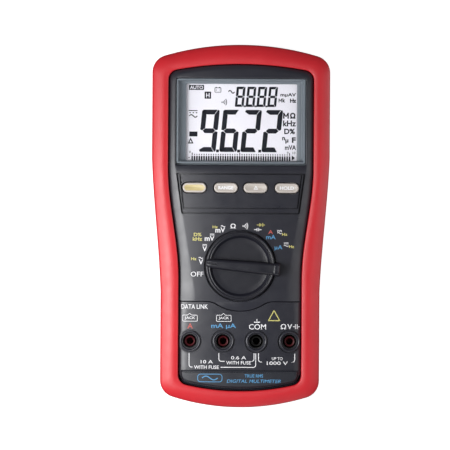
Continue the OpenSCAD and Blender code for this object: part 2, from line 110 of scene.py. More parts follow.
def end_curve(half, tip, big, corner, sign):
    """One end of an outline, from its middle to where the side begins: a wide arc and a round corner."""
    centre_y = tip - sign * big
    corner_x = half - corner
    corner_y = centre_y + sign * math.sqrt((big - corner) ** 2 - corner_x ** 2)
    meeting = math.degrees(math.atan2(corner_y - centre_y, corner_x))
    wide = arc((0, centre_y), big, 90 * sign, meeting, 26)
    return wide + arc((corner_x, corner_y), corner, meeting, 0, 12)[1:]


def outline(half, waist, ends, side, straight, arcs, corner):
    """Closed outline, counter-clockwise from above, the same number of points for every outline."""
    top = end_curve(half, ends[0], arcs[0], corner, 1)
    bottom = end_curve(waist, ends[1], arcs[1], corner, -1)
    high = top[-1][1]
    low = bottom[-1][1]
    upper = [(half, high + (side[0] - high) * i / 8) for i in range(1, 8)]
    steps = 32
    swell = [(half + (waist - half) * ease(i / steps, straight), side[0] + (side[1] - side[0]) * i / steps)
             for i in range(steps + 1)]
    lower = [(waist, side[1] + (low - side[1]) * i / 8) for i in range(1, 8)]
    right = top + upper + swell + lower + bottom[::-1]
    left = [(-x, y) for x, y in right[-2:0:-1]]
    return (right + left)[::-1]


def inset(points, distance):
    """Moves a counter-clockwise outline inwards along its normals."""
    moved = []
    for i, (x, y) in enumerate(points):
        ax, ay = points[i - 1]
        bx, by = points[(i + 1) % len(points)]
        before = Vector((x - ax, y - ay)).normalized()
        after = Vector((bx - x, by - y)).normalized()
        normal = Vector((-before.y - after.y, before.x + after.x)).normalized()
        corner = max(0.5, normal.dot(Vector((-before.y, before.x))))
        moved.append((x + normal.x * distance / corner, y + normal.y * distance / corner))
    return moved


def circle(x, y, radius, steps=64):
    return arc((x, y), radius, 0, 360, steps)[:-1]


def rounded(width, height, radius, x=0.0, y=0.0, steps=8):
    """Rectangle with round corners."""
    points = []
    for sx, sy, start in ((1, 1, 0), (-1, 1, 90), (-1, -1, 180), (1, -1, 270)):
        centre = (x + sx * (width / 2 - radius), y + sy * (height / 2 - radius))
        points += arc(centre, radius, start, start + 90, steps)
    return points


def softened(points, radius, steps=5):
    """Rounds the corners of a counter-clockwise polygon."""
    result = []
    for i, point in enumerate(points):
        here = Vector(point)
        before = (Vector(points[i - 1]) - here)
        after = (Vector(points[(i + 1) % len(points)]) - here)
        reach = min(radius, before.length / 2.1, after.length / 2.1)
        start = here + before.normalized() * reach
        end = here + after.normalized() * reach
        for k in range(steps + 1):
            t = k / steps
            result.append(tuple(start * (1 - t) ** 2 + here * 2 * t * (1 - t) + end * t * t))
    return result


def clip_above(points, limit):
    """Keeps the part of a closed outline that lies below a level in Y."""
    kept = []
    for i, (x, y) in enumerate(points):
        px, py = points[i - 1]
        if (y <= limit) != (py <= limit):
            t = (limit - py) / (y - py)
            kept.append((px + (x - px) * t, limit))
        if y <= limit:
            kept.append((x, y))
    return kept


# ---------------------------------------------------------------- mesh helpers
SMOOTH_ANGLE = 32
MERGE_DISTANCE = 0.0004
CAD_MERGE_DISTANCE = 0.00001


def placed(name, data):
    """New object in the scene around a data block."""
    thing = bpy.data.objects.new(name, data)
    bpy.context.scene.collection.objects.link(thing)
    return thing


def mesh_piece(name, bm, sharp=SMOOTH_ANGLE):
    """Object in metres from a bmesh, which is used up."""
    mesh = bpy.data.meshes.new(name)
    bm.to_mesh(mesh)
    bm.free()
    smooth(mesh, sharp)
    return placed(name, mesh)


def finish_mesh(name, bm, sharp=SMOOTH_ANGLE):
    """Turns a bmesh in millimetres into an object in metres, with smooth shading between sharp edges."""
    bmesh.ops.remove_doubles(bm, verts=bm.verts, dist=MERGE_DISTANCE)
    bmesh.ops.recalc_face_normals(bm, faces=bm.faces)
    bmesh.ops.scale(bm, vec=(MM, MM, MM), verts=bm.verts)
    return mesh_piece(name, bm, sharp)


def smooth(mesh, sharp=SMOOTH_ANGLE):
    """Smooth shading, broken at edges sharper than an angle in degrees."""
    mesh.polygons.foreach_set("use_smooth", [True] * len(mesh.polygons))
    mesh.set_sharp_from_angle(angle=math.radians(sharp))
    mesh.update()


def add_loft(bm, rings, closed=False, caps=True):
    """Skins rings of equal length. Closed joins the last ring to the first; caps fill the two ends."""
    layers = [[bm.verts.new(Vector(p)) for p in ring] for ring in rings]
    count = len(layers[0])
    pairs = list(zip(layers, layers[1:]))
    if closed:
        pairs.append((layers[-1], layers[0]))
    for lower, upper in pairs:
        for i in range(count):
            k = (i + 1) % count
            bm.faces.new((lower[i], lower[k], upper[k], upper[i]))
    if caps and not closed:
        bm.faces.new(layers[0][::-1])
        bm.faces.new(layers[-1])


def lofted(name, rings, closed=False, sharp=SMOOTH_ANGLE):
    """Object from rings of equal length, in millimetres."""
    bm = bmesh.new()
    add_loft(bm, rings, closed)
    return finish_mesh(name, bm, sharp)


def lifted(pairs):
    """Rings from pairs of a flat outline and its height."""
    return [[(x, y, z) for x, y in ring] for ring, z in pairs]


def heights(base, *pairs):
    """Pairs of a distance and a height, with the height counted from a base level."""
    return [(distance, base + height) for distance, height in pairs]


def levels(points, steps):
    """Rings of one outline at (inset, z) steps."""
    return [[(x, y, z) for x, y in (inset(points, d) if d else points)] for d, z in steps]


def solid(name, points, steps):
    """Closed body from one outline at (inset, z) steps."""
    return lofted(name, levels(points, steps))


def turned(name, profile, x, y, steps=96, sharp=SMOOTH_ANGLE):
    """Body of revolution about a vertical axis from a closed (radius, z) profile."""
    rings = [[(x + r * math.cos(a), y + r * math.sin(a), z) for r, z in profile]
             for a in (math.tau * i / steps for i in range(steps))]
    return lofted(name, rings, True, sharp)


def combined(target, operation, *others):
    """Exact boolean of target with others, which are used up."""
    for other in others:
        step = target.modifiers.new("step", "BOOLEAN")
        step.operation = operation
        step.solver = "EXACT"
        step.object = other
        graph = bpy.context.evaluated_depsgraph_get()
        mesh = bpy.data.meshes.new_from_object(target.evaluated_get(graph))
        target.modifiers.clear()
        target.data = mesh
        bpy.data.objects.remove(other)
    smooth(target.data)
    return target


def joined(name, pieces):
    """One object from several, which are used up."""
    bm = bmesh.new()
    for piece in pieces:
        bm.from_mesh(piece.data)
        bpy.data.objects.remove(piece)
    return mesh_piece(name, bm)


def bevelled(name, node, width):
    """Copy of a CAD node with its edges rounded."""
    bm = bmesh.new()
    bm.from_mesh(frame["nodes"][node].data)
    bmesh.ops.remove_doubles(bm, verts=bm.verts, dist=CAD_MERGE_DISTANCE)
    bmesh.ops.dissolve_limit(bm, angle_limit=math.radians(1), verts=bm.verts, edges=bm.edges)
    sharp = [e for e in bm.edges if len(e.link_faces) == 2 and e.calc_face_angle(0) > math.radians(35)]
    bmesh.ops.bevel(bm, geom=sharp, offset=width * MM, segments=3, affect="EDGES", profile=0.5,
                    clamp_overlap=True)
    return mesh_piece(name, bm)


# ---------------------------------------------------------------- materials
def set_inputs(node, values):
    """Sets inputs of a shader node by name."""
    for key, value in values.items():
        node.inputs[key].default_value = value


def procedural(name, colour, rough, grain=900.0, bump=0.12, tint=0.12, metallic=0.0, specular=0.5,
               wear=0.0, alpha=1.0, emission=0.0, speckle=0.0, crown=0.0):
    """Moulded, printed or plated surface: colour and gloss drift, fine grain, and lighter scuffed edges."""
    material = bpy.data.materials.new(name)
    material.use_nodes = True
    tree = material.node_tree
    nodes, links = tree.nodes, tree.links
    shader = nodes["Principled BSDF"]
    set_inputs(shader, {"Metallic": metallic, "Specular IOR Level": specular, "Alpha": alpha})
    place = nodes.new("ShaderNodeTexCoord").outputs["Object"]

    def noise(scale, detail, rough_share=0.55):
        node = nodes.new("ShaderNodeTexNoise")
        set_inputs(node, {"Scale": scale, "Detail": detail, "Roughness": rough_share})
        links.new(place, node.inputs["Vector"])
        return node.outputs["Fac"]

    def spread(source, low, high, to_low, to_high):
        node = nodes.new("ShaderNodeMapRange")
        set_inputs(node, {"From Min": low, "From Max": high, "To Min": to_low, "To Max": to_high})
        links.new(source, node.inputs["Value"])
        return node.outputs["Result"]

    def mix(factor, first, second):
        node = nodes.new("ShaderNodeMix")
        node.data_type = "RGBA"
        if isinstance(factor, float):
            node.inputs["Factor"].default_value = factor
        else:
            links.new(factor, node.inputs["Factor"])
        for socket, value in ((node.inputs[6], first), (node.inputs[7], second)):
            if isinstance(value, tuple):
                socket.default_value = value
            else:
                links.new(value, socket)
        return node.outputs[2]

    darker = tuple(c * (1 - tint) for c in colour) + (1.0,)
    lighter = tuple(min(1.0, c * (1 + tint)) for c in colour) + (1.0,)
    clouds = noise(28.0, 4.0)
    surface = mix(spread(clouds, 0.3, 0.7, 0.0, 1.0), darker, lighter)
    if speckle:
        dots = spread(noise(grain * 0.8, 2.0), 0.5, 0.62, 0.0, speckle)
        surface = mix(dots, surface, tuple(min(1.0, c * 1.6 + 0.02) for c in colour) + (1.0,))
    if wear:
        edge = nodes.new("ShaderNodeBevel")
        edge.samples = 4
        edge.inputs["Radius"].default_value = 0.0006
        normal = nodes.new("ShaderNodeNewGeometry").outputs["Normal"]
        dot = nodes.new("ShaderNodeVectorMath")
        dot.operation = "DOT_PRODUCT"
        links.new(edge.outputs["Normal"], dot.inputs[0])
        links.new(normal, dot.inputs[1])
        worn = spread(dot.outputs["Value"], 0.995, 0.86, 0.0, wear)
        surface = mix(worn, surface, tuple(min(1.0, c * 1.5 + 0.05) for c in colour) + (1.0,))
    links.new(surface, shader.inputs["Base Color"])
    patches = noise(160.0, 3.0)
    links.new(spread(patches, 0.25, 0.75, rough - 0.05, rough + 0.07), shader.inputs["Roughness"])
    fine = nodes.new("ShaderNodeBump")
    set_inputs(fine, {"Strength": bump, "Distance": 0.0001})
    links.new(noise(grain, 3.0, 0.6), fine.inputs["Height"])
    links.new(fine.outputs["Normal"], shader.inputs["Normal"])
    if crown:
        # a barely domed moulding: its sides lean outwards, crown is the curvature in 1/m
        across = nodes.new("ShaderNodeSeparateXYZ")
        links.new(place, across.inputs[0])
        height = across.outputs["X"]
        sums = (("ABSOLUTE", 0.0), ("SUBTRACT", 0.006), ("MAXIMUM", 0.0), ("POWER", 2.0),
                ("MULTIPLY", -crown / 2))
        for operation, value in sums:
            step = nodes.new("ShaderNodeMath")
            step.operation = operation
            step.inputs[1].default_value = value
            links.new(height, step.inputs[0])
            height = step.outputs[0]
        dome = nodes.new("ShaderNodeBump")
        set_inputs(dome, {"Strength": 1.0, "Distance": 1.0})
        links.new(height, dome.inputs["Height"])
        links.new(dome.outputs["Normal"], fine.inputs["Normal"])
    if emission:
        set_inputs(shader, {"Emission Color": colour + (1.0,), "Emission Strength": emission})
    return material


PRINT = dict(rough=0.5, grain=3000.0, bump=0.03, tint=0.05)
# shared base of the painted shade colours for the contact tubes deep in the socket bores
PAINTED_BORE_SHADE = dict(rough=0.5, grain=1800.0, bump=0.1, metallic=0.6)
LOOKS = {
    "holster_rubber": dict(colour=(0.50, 0.012, 0.020), rough=0.40, grain=1500.0, bump=0.08, tint=0.05,
                           wear=0.1),
    "stand_plastic": dict(colour=(0.035, 0.035, 0.04), rough=0.5, grain=1300.0, bump=0.3, wear=0.25),
    "case_plastic": dict(colour=(0.0165, 0.0170, 0.0245), rough=0.32, grain=2200.0, bump=0.10, tint=0.08,
                         wear=0.15, crown=2.9),
    "back_plastic": dict(colour=(0.03, 0.03, 0.034), rough=0.5, grain=1400.0, bump=0.3, wear=0.2),
    "knob_plastic": dict(colour=(0.0095, 0.0097, 0.0150), rough=0.36, grain=2600.0, bump=0.08, tint=0.08,
                         specular=0.38, wear=0.2),
    "bezel_plastic": dict(colour=(0.14, 0.165, 0.19), rough=0.35, grain=2000.0, bump=0.05, tint=0.05,
                          wear=0.1),
    "clear_window": dict(colour=(0.02, 0.02, 0.02), rough=0.08, grain=300.0, bump=0.01, alpha=0.05),
    # the cell's emission is a painted glow that lifts the liquid crystal towards white; the cell is no lamp
    "display_cell": dict(colour=(0.80, 0.79, 0.86), rough=0.45, grain=3500.0, bump=0.05, tint=0.02,
                         emission=0.19),
    "display_ink": dict(colour=(0.010, 0.011, 0.018), rough=0.6, grain=2000.0, bump=0.03, tint=0.1,
                        specular=0.2),
    "black_rubber": dict(colour=(0.015, 0.015, 0.015), rough=0.7, grain=1500.0, bump=0.2),
    "black_plastic": dict(colour=(0.012, 0.012, 0.013), rough=0.45, grain=1500.0, bump=0.1, wear=0.2),
    "white_plastic": dict(colour=(0.7, 0.7, 0.66), rough=0.4, grain=1500.0, bump=0.08),
    "keypad_silicone": dict(colour=(0.1, 0.1, 0.11), rough=0.65, grain=1700.0, bump=0.15),
    "key_beige": dict(colour=(0.47, 0.43, 0.40), rough=0.42, grain=2400.0, bump=0.06, tint=0.05, wear=0.3),
    "key_centre": dict(colour=(0.42, 0.38, 0.345), rough=0.45, grain=2400.0, bump=0.06, tint=0.05, wear=0.2),
    "key_yellow": dict(colour=(0.47, 0.385, 0.185), rough=0.42, grain=2400.0, bump=0.06, tint=0.05, wear=0.2),
    "socket_red": dict(colour=(0.060, 0.0035, 0.007), rough=0.4, grain=2000.0, bump=0.05, wear=0.05),
    "socket_black": dict(colour=(0.008, 0.008, 0.008), rough=0.35, grain=2000.0, bump=0.05),
    "contact_brass": dict(colour=(0.72, 0.52, 0.2), rough=0.3, grain=1800.0, bump=0.1, metallic=1.0),
    # painted shade in the socket bores: darker than brass, tinted red in the red sockets and near black in
    # the black one
    "contact_shaded": dict(PAINTED_BORE_SHADE, colour=(0.150, 0.030, 0.024)),
    "contact_painted_shade": dict(PAINTED_BORE_SHADE, colour=(0.018, 0.010, 0.009)),
    "plate_film": dict(colour=(0.017, 0.019, 0.026), rough=0.34, grain=2600.0, bump=0.05, tint=0.06,
                       wear=0.15, crown=2.9),
    "print_white": dict(PRINT, colour=(0.70, 0.70, 0.72), tint=0.04),
    "print_yellow": dict(PRINT, colour=(0.50, 0.46, 0.14)),
    "print_red": dict(PRINT, colour=(0.42, 0.075, 0.06)),
    "print_blue": dict(PRINT, colour=(0.07, 0.25, 0.46)),
    "circuit_board": dict(colour=(0.015, 0.11, 0.04), rough=0.3, grain=2000.0, bump=0.1, speckle=0.3),
    "chip_epoxy": dict(colour=(0.016, 0.016, 0.018), rough=0.55, grain=2200.0, bump=0.15),
    "capacitor_sleeve": dict(colour=(0.03, 0.05, 0.18), rough=0.3, grain=1500.0, bump=0.05),
    "disc_coating": dict(colour=(0.04, 0.12, 0.3), rough=0.4, grain=1200.0, bump=0.3),
    "shunt_alloy": dict(colour=(0.6, 0.4, 0.28), rough=0.35, grain=1500.0, bump=0.2, metallic=1.0),
    "fuse_ceramic": dict(colour=(0.75, 0.72, 0.64), rough=0.25, grain=1500.0, bump=0.05),
    "battery_wrap": dict(colour=(0.04, 0.07, 0.18), rough=0.25, grain=1200.0, bump=0.05),
    "infrared_plastic": dict(colour=(0.04, 0.004, 0.008), rough=0.12, grain=900.0, bump=0.02),
    "steel": dict(colour=(0.55, 0.55, 0.56), rough=0.32, grain=1500.0, bump=0.15, metallic=1.0),
}
MATERIALS = {slot: procedural("mat_" + slot, **look) for slot, look in LOOKS.items()}


def dress(piece, slot, body=HOUSING, replaced=()):
    """Gives a new piece the material made for a record slot, attaches it to its body, and hides the CAD nodes
    it stands for.
    """
    piece.data.materials.clear()
    piece.data.materials.append(MATERIALS[slot])
    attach(piece, body)
    if replaced:
        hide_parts(*replaced)
    return piece


# ---------------------------------------------------------------- camera, floor and light
VIEW_WIDTH = 257.9
CAMERA_DISTANCE = 1500.0
CAMERA_AT = (-8.85, 0.55)
CAMERA_ROLL = math.radians(0.35)
SENSOR_WIDTH = 36.0


def make_camera():
    data = bpy.data.cameras.new("camera")
    data.sensor_width = SENSOR_WIDTH
    data.lens = SENSOR_WIDTH * CAMERA_DISTANCE / VIEW_WIDTH
    data.clip_end = 20.0
    camera = placed("camera", data)
    camera.location = Vector((*CAMERA_AT, FACE_Z + CAMERA_DISTANCE)) * MM
    camera.rotation_euler = (0, 0, CAMERA_ROLL)
    bpy.context.scene.camera = camera


def make_stage():
    """Pale floor and a pale wall far around it. They show in the picture but throw no light on the object."""
    reach = 4000.0
    ground = bmesh.new()
    corners = [(-reach, -reach), (reach, -reach), (reach, reach), (-reach, reach)]
    ground.faces.new([ground.verts.new((x, y, -0.3)) for x, y in corners])
    wall = bmesh.new()
    add_loft(wall, [[(x, y, z) for x, y in circle(0, 0, reach * 0.98, 96)] for z in (-reach * 0.1, reach)],
             caps=False)
    material = bpy.data.materials.new("mat_stage")
    material.use_nodes = True
    shader = material.node_tree.nodes["Principled BSDF"]
    set_inputs(shader, {"Roughness": 0.9, "Specular IOR Level": 0.1, "Base Color": (0.5, 0.5, 0.5, 1.0),
                        "Emission Color": (1.0, 1.0, 1.0, 1.0), "Emission Strength": 0.88})
    for name, bm in (("floor", ground), ("backdrop", wall)):
        piece = finish_mesh(name, bm)
        piece.data.materials.append(material)
        piece.visible_diffuse = False
        piece.visible_glossy = False
        piece.visible_shadow = name == "floor"


def area_light(name, place, size, power, aimed=True):
    """Soft panel, aimed at the middle of the face or straight down. Place and size are in metres."""
    data = bpy.data.lights.new(name, "AREA")
    data.shape = "RECTANGLE"
    data.size, data.size_y = size
    data.energy = power
    light = placed(name, data)
    light.location = place
    if aimed:
        towards = Vector((0, 0, FACE_Z * MM)) - Vector(place)
        light.rotation_euler = towards.to_track_quat("-Z", "Y").to_euler()
    light.visible_camera = False


def make_lights():
    world = bpy.data.worlds.new("world")
    bpy.context.scene.world = world
    world.use_nodes = True
    sky = world.node_tree.nodes["Background"]
    set_inputs(sky, {"Color": (1.0, 1.0, 1.0, 1.0), "Strength": 0.15})
    area_light("near_panel", (-0.105, -0.04, 0.206), (0.07, 0.16), 0.19, aimed=False)
    area_light("left_panel", (-0.30, -0.04, 0.38), (0.2, 0.45), 2.25)
    area_light("right_panel", (0.36, 0.0, 0.38), (0.2, 0.45), 0.5)
    area_light("low_panel", (0.05, -0.36, 0.36), (0.5, 0.2), 0.18)
    area_light("right_fill", (0.55, 0.1, 0.11), (0.3, 0.25), 0.8)
    area_light("end_fill", (0.1, -0.6, 0.11), (0.3, 0.25), 0.5)
    bpy.context.scene.view_settings.view_transform = "Standard"


# ---------------------------------------------------------------- holster
POCKET = inset(outline(**OUTER), CASE_INSET - 0.3)
GRIPS = 7
GRIP_PITCH = 9
FIRST_GRIP_Y = -34
GRIP_RADIUS = 1.9
ROLL_ANGLE = math.radians(64)


def make_holster():
    """Rubber shell: walls, a crowned rim with a rolled inner lip, and a pocket for the case."""
    outer = outline(**OUTER)
    opening = outline(**OPENING)
    back = BACK_Z
    rings = []
    back_radius = 7.0
    for i in range(9):
        a = math.pi / 2 * i / 8
        rings += levels(outer, [(back_radius * (1 - math.sin(a)), back + back_radius * (1 - math.cos(a)))])
    crown_fall = 1.5
    inner_fall = 0.25
    peak = 0.75
    edge_radius = 2.0
    inner_radius = 0.9
    shoulder = RIM_Z - crown_fall - edge_radius
    for i in range(6):
        a = ROLL_ANGLE * i / 5
        rings += levels(outer, [(edge_radius * (1 - math.cos(a)), shoulder + edge_radius * math.sin(a))])
    start_inset = edge_radius * (1 - math.cos(ROLL_ANGLE))
    start_z = shoulder + edge_radius * math.sin(ROLL_ANGLE)
    first = inset(outer, start_inset)
    last = inset(opening, -inner_radius)
    for i in range(1, 16):
        t = i / 15
        if t < peak:
            height = RIM_Z - (RIM_Z - start_z) * (1 - t / peak) ** 2
        else:
            height = RIM_Z - inner_fall * ((t - peak) / (1 - peak)) ** 2
        rings.append([(ax + (bx - ax) * t, ay + (by - ay) * t, height)
                      for (ax, ay), (bx, by) in zip(first, last)])
    for i in range(1, 7):
        a = math.pi / 2 * i / 6
        height = RIM_Z - inner_fall - inner_radius * (1 - math.cos(a))
        rings += levels(opening, [(inner_radius * (math.sin(a) - 1), height)])
    lip_under = FACE_Z - 1.8
    rings += lifted([(opening, lip_under), (POCKET, lip_under), (POCKET, back + 3.0)])
    shell = lofted("holster_shell", rings)
    port = solid("port_cut", rounded(22, 11, 2.5, 0, 88),
                 heights(back, (-0.8, -1), (-0.8, 0), (0, 0.8), (0, 4)))
    grip = [grip_groove(side, k) for side in (-1, 1) for k in range(GRIPS)]
    shell = combined(shell, "DIFFERENCE", port, joined("grips", grip))
    lugs = [holster_lug(side) for side in (-1, 1)]
    shell = joined("holster_shell", [shell] + lugs)
    dress(shell, "holster_rubber", replaced=["holster"])


def grip_groove(side, k):
    """Upright finger groove in the waist of the holster's side wall."""
    y = FIRST_GRIP_Y + GRIP_PITCH * k
    right = outline(**OUTER)
    nearest = min(right, key=lambda p: abs(p[1] - y) + (1000 if p[0] < 0 else 0))
    x = nearest[0] + 1.1
    lower, upper = BACK_Z + 10, RIM_Z - 13
    rings = []
    for i in range(9):
        t = i / 8
        z = lower + (upper - lower) * t
        radius = GRIP_RADIUS * math.sqrt(max(0.02, 1 - (2 * t - 1) ** 6))
        rings.append([(side * x + radius * math.cos(a), y + radius * math.sin(a), z)
                      for a in (math.tau * j / 20 for j in range(20))])
    return lofted("groove", rings)


def holster_lug(side):
    """Ear that carries the tilt stand's pin."""
    pin_y = JOINTS["stand_open"]["pos_m"][1] / MM
    pin_z = JOINTS["stand_open"]["pos_m"][2] / MM
    centre = side * 20.1
    hole = 1.5
    outer = []
    for i in range(32):
        a = math.tau * i / 32
        reach = 3.7
        y = reach * math.cos(a) * (1.25 if math.sin(a) > 0 else 1.0)
        z = reach * math.sin(a) * (1.15 if math.sin(a) > 0 else 1.0)
        outer.append((y, z, hole * math.cos(a), hole * math.sin(a)))
    rings = []
    for x, share in ((-1.5, 0.88), (-1.1, 1), (1.1, 1), (1.5, 0.88), (1.5, None), (-1.5, None)):
        rings.append([(centre + x, pin_y + (y * share if share else hole_y),
                       pin_z + (z * share if share else hole_z)) for y, z, hole_y, hole_z in outer])
    return lofted("lug", rings, closed=True)


# ---------------------------------------------------------------- front case
RECESS = (74.2, 48.8, 60.2)
PLATE_TOP_Y = -82.6
KEY_PANEL = [(-37.1, 30.3), (-33.9, 6.8), (33.9, 6.8), (37.1, 30.3)]
KEY_PANEL_INNER = [(-35.3, 30.3), (-33.0, 9.8), (33.0, 9.8), (35.3, 30.3)]
STEP_Y = -43.3
STEP_RADIUS = 25.9
RIM_GAP = 0.45
FALL_SHARE = 0.25
DEEPEST_FALL = 1.3


def frame_strip(polygon, width, bottom, top):
    """Closed groove cutter that follows a polygon on its inner side."""
    outer = softened(polygon, 0.8, 3)
    inner = softened(inset(polygon, width), 0.4, 3)
    rings = lifted([(outer, bottom), (outer, top), (inner, top), (inner, bottom)])
    return lofted("strip", rings, closed=True)


def path_strip(path, width, bottom, top):
    """Open groove cutter along a path, with a V-shaped foot."""
    points = [Vector(p) for p in path]
    left, right = [], []
    for i, point in enumerate(points):
        along = (points[min(i + 1, len(points) - 1)] - points[max(i - 1, 0)]).normalized()
        across = Vector((-along.y, along.x)) * width / 2
        left.append(point + across)
        right.append(point - across)
    foot = bottom + width * 0.4
    rings = [[(a.x, a.y, top), (b.x, b.y, top), (b.x, b.y, foot), (c.x, c.y, bottom), (a.x, a.y, foot)]
             for a, b, c in zip(left, right, points)]
    return lofted("strip", rings)


def step_path(radius, level):
    """The line that separates the socket field from the dial: straight, round under the knob, straight."""
    reach = 60.0
    drop = level - KNOB_AT.y
    half_angle = math.degrees(math.acos(-drop / radius))
    left_end = -math.sin(math.radians(half_angle)) * radius
    round_part = arc((KNOB_AT.x, KNOB_AT.y), radius, 270 - half_angle, 270 + half_angle, 32)
    ease_in = [(left_end - 3.0, level), (left_end - 1.2, level - 0.15)]
    ease_out = [(-left_end + 1.2, level - 0.15), (-left_end + 3.0, level)]
    return [(-reach, level)] + ease_in + round_part[2:-2] + ease_out + [(reach, level)]


PLATEAU = dict(half=37.4, waist=25.5, ends=(89.4, -52), side=(33, -38), straight=1.0, arcs=(205, 60),
               corner=5)


def sloping_face():
    """Flat field for display, keys and dial, with bands that fall away to the rim on all sides."""
    edge = inset(outline(**OPENING), RIM_GAP)
    field = outline(**PLATEAU)
    falls = [min(DEEPEST_FALL, FALL_SHARE * math.dist(a, b)) for a, b in zip(edge, field)]
    rings = lifted([(edge, ROOF_Z - 1.5)])
    rings.append([(x, y, FACE_Z - fall - 0.35) for (x, y), fall in zip(edge, falls)])
    for share in (0.0, 0.06, 0.13, 0.21, 0.3, 0.4, 0.5, 0.6, 0.7, 0.8, 0.9, 0.96, 1.0):
        rise = 1 - (1 - share) ** 1.7
        t = max(share, 0.03)
        rings.append([(ax + (bx - ax) * t, ay + (by - ay) * t, FACE_Z - fall * (1 - rise))
                      for (ax, ay), (bx, by), fall in zip(edge, field, falls)])
    return lofted("case_face", rings)


def make_front_case():
    """Face with its recess, key panel, dial well, step line, sockets and plate seat, over the CAD walls."""
    opening = outline(**OPENING)
    above = solid("block", rounded(140, 200, 1.0, 0, STEP_Y + 100 - 0.3), [(0, ROOF_Z - 3), (0, FACE_Z + 3)])
    face = combined(sloping_face(), "INTERSECT", above)
    shoulder = heights(LOWER_Z, (0, -1.15), (0.15, -0.98), (0.6, -0.73), (1.3, -0.46), (2.2, -0.22),
                       (3.4, -0.06), (4.8, 0))
    lower = solid("lower", inset(opening, RIM_GAP), [(0, ROOF_Z - 0.8)] + shoulder)
    block = solid("block", rounded(140, 90, 1.0, 0, STEP_Y - 45 - 0.3), [(0, ROOF_Z - 3), (0, FACE_Z + 3)])
    lower = combined(lower, "INTERSECT", block)
    well_collar = solid("well", circle(KNOB_AT.x, KNOB_AT.y, STEP_RADIUS, 96),
                        [(0, ROOF_Z - 0.4), (0, LOWER_Z - 0.2), (0.35, LOWER_Z + 0.2), (0.8, FACE_Z - 0.02)])
    face = combined(face, "UNION", lower, well_collar)

    recess = solid("cut", rounded(RECESS[0] + 0.3, RECESS[1] + 1.1, 1.2, 0, RECESS[2] - 0.5),
                   [(0, ROOF_Z - 4)] + heights(FACE_Z, (0, -0.5), (-0.25, -0.15), (-0.6, 0), (-0.6, 2)))
    mouth = heights(FACE_Z, (0, -0.3), (-0.3, 0), (-0.3, 2))
    key_cuts = [solid("cut", rounded(14.5, 6.4, 3.15, x, y), [(0, ROOF_Z - 4)] + mouth)
                for name, x, y in KEYS]
    well = solid("cut", circle(KNOB_AT.x, KNOB_AT.y, 20.5, 128), [(0, ROOF_Z + 1.9)] + mouth)
    shaft = solid("cut", circle(KNOB_AT.x, KNOB_AT.y, 6.1, 48), [(0, ROOF_Z - 5), (0, ROOF_Z + 4)])
    grooves = [frame_strip(KEY_PANEL, 1.0, FACE_Z - 3.0, FACE_Z + 1),
               frame_strip(KEY_PANEL_INNER, 0.75, FACE_Z - 2.2, FACE_Z + 0.9),
               path_strip(step_path(STEP_RADIUS, STEP_Y), 0.7, LOWER_Z - 2.2, FACE_Z + 1.1)]
    upper_end = [(-0.2, LOWER_Z + 0.1), (-0.2, FACE_Z + 1)]
    plate_cut = solid("cut", plate_outline(0.0), heights(LOWER_Z, (0, -1.3), (0, -0.1)) + upper_end)
    socket_steps = heights(LOWER_Z, (0, -0.9), (0, -0.15)) + upper_end
    socket_cuts = [solid("cut", circle(x, y, 6.75, 72), socket_steps) for name, x, y in SOCKETS]
    for cutter in [recess, well, shaft, plate_cut] + grooves[:1]:
        face = combined(face, "DIFFERENCE", cutter)
    face = combined(face, "DIFFERENCE", joined("cuts", key_cuts + socket_cuts), grooves[1])
    face = combined(face, "DIFFERENCE", grooves[2])
    rim_path = [point for point in inset(opening, 1.0) if point[1] < PLATE_TOP_Y]
    face = combined(face, "DIFFERENCE", path_strip(rim_path, 1.0, LOWER_Z - 3.2, FACE_Z + 1.3))
    profile = [(4.25, ROOF_Z - 1.4), (6.15, ROOF_Z - 1.4)]
    profile += heights(COLLAR_Z, (6.15, -0.7), (6.0, -0.3), (5.7, -0.05), (5.4, 0), (5.1, -0.12), (4.8, -0.5),
                       (4.5, -1.2), (4.3, -2.2), (4.25, -2.6))
    collars = [turned("collar", profile, x, y) for name, x, y in SOCKETS]
    through = [solid("cut", circle(x, y, 4.2, 48), [(0, ROOF_Z - 5), (0, LOWER_Z)]) for name, x, y in SOCKETS]
    face = combined(face, "DIFFERENCE", joined("cuts", through))
    face = joined("case_face", [face] + collars)
    dress(face, "case_plastic", replaced=["front_case"])

    body = case_body()
    dress(body, "case_plastic", replaced=["front_case"])


def case_body():
    """The CAD front case below its shoulder, with walls, screw posts and bosses."""
    bm = bmesh.new()
    bm.from_mesh(frame["nodes"]["front_case"].data)
    bmesh.ops.remove_doubles(bm, verts=bm.verts, dist=CAD_MERGE_DISTANCE)
    level = (ROOF_Z - 1.6) * MM
    cut = bmesh.ops.bisect_plane(bm, geom=bm.verts[:] + bm.edges[:] + bm.faces[:], plane_co=(0, 0, level),
                                 plane_no=(0, 0, 1), clear_outer=True)
    rim = [e for e in cut["geom_cut"] if isinstance(e, bmesh.types.BMEdge)]
    bmesh.ops.triangle_fill(bm, edges=rim, use_beauty=True)
    bmesh.ops.recalc_face_normals(bm, faces=bm.faces)
    return mesh_piece("case_walls", bm)


def plate_outline(gap):
    """Outline of the name plate's recess: the socket field's lower end, with softened upper corners."""
    edge = inset(outline(**OPENING), 1.7 + gap)
    return softened(clip_above(edge, PLATE_TOP_Y - gap), 0.6, 2)


# ---------------------------------------------------------------- display
VIEW = (63.6, 44.2, 59.6)


